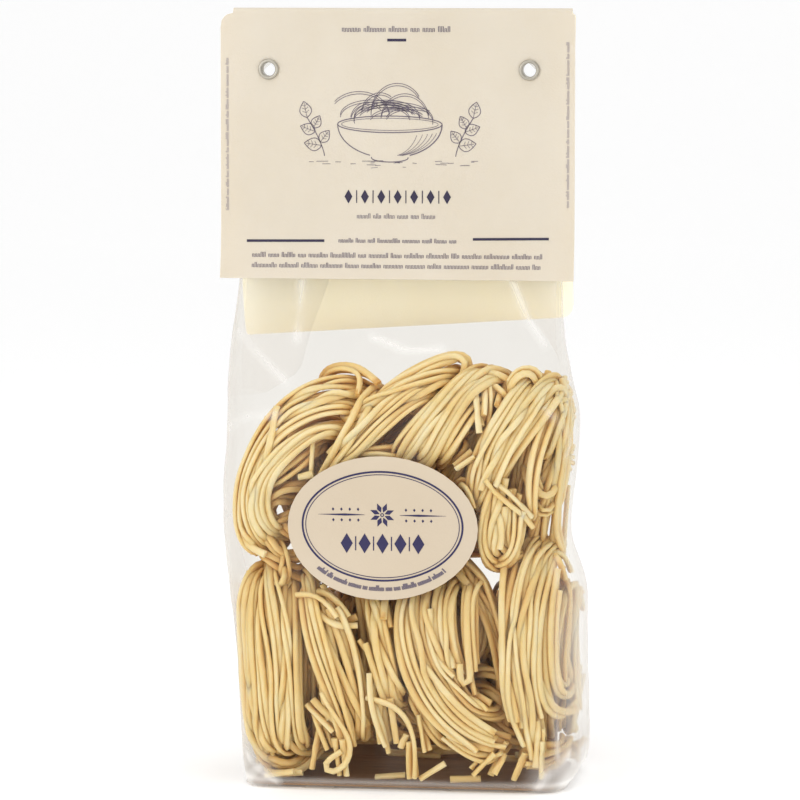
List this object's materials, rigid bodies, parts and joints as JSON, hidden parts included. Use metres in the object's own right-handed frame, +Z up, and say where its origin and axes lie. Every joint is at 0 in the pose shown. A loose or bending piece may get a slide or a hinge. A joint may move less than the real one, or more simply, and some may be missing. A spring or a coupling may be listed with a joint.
{
  "type": "bag of spaghetti nests",
  "caption": "Clear block-bottom film bag filled with nests of thin dry pasta, closed by a folded card header with metal eyelets, with an oval paper sticker on its front.",
  "frame": {"origin": "middle of the pack's width and depth, on the surface that it stands on", "axes": "+Z up, the front with the sticker faces -Y, +X to the right as seen from the front"},
  "size_m": [0.1161, 0.0692, 0.2423],
  "materials": {
    "film": "clear glossy film with soft creases",
    "card": "matt uncoated cream card",
    "label": "matt cream paper",
    "eyelet": "satin metal",
    "pasta": "matt dry egg pasta, bronze cut"
  },
  "bodies": {
    "root": {"bag": "film", "header_card": "card", "label": "label", "eyelet_left": "eyelet", "eyelet_right": "eyelet"}
  },
  "joints": []
}
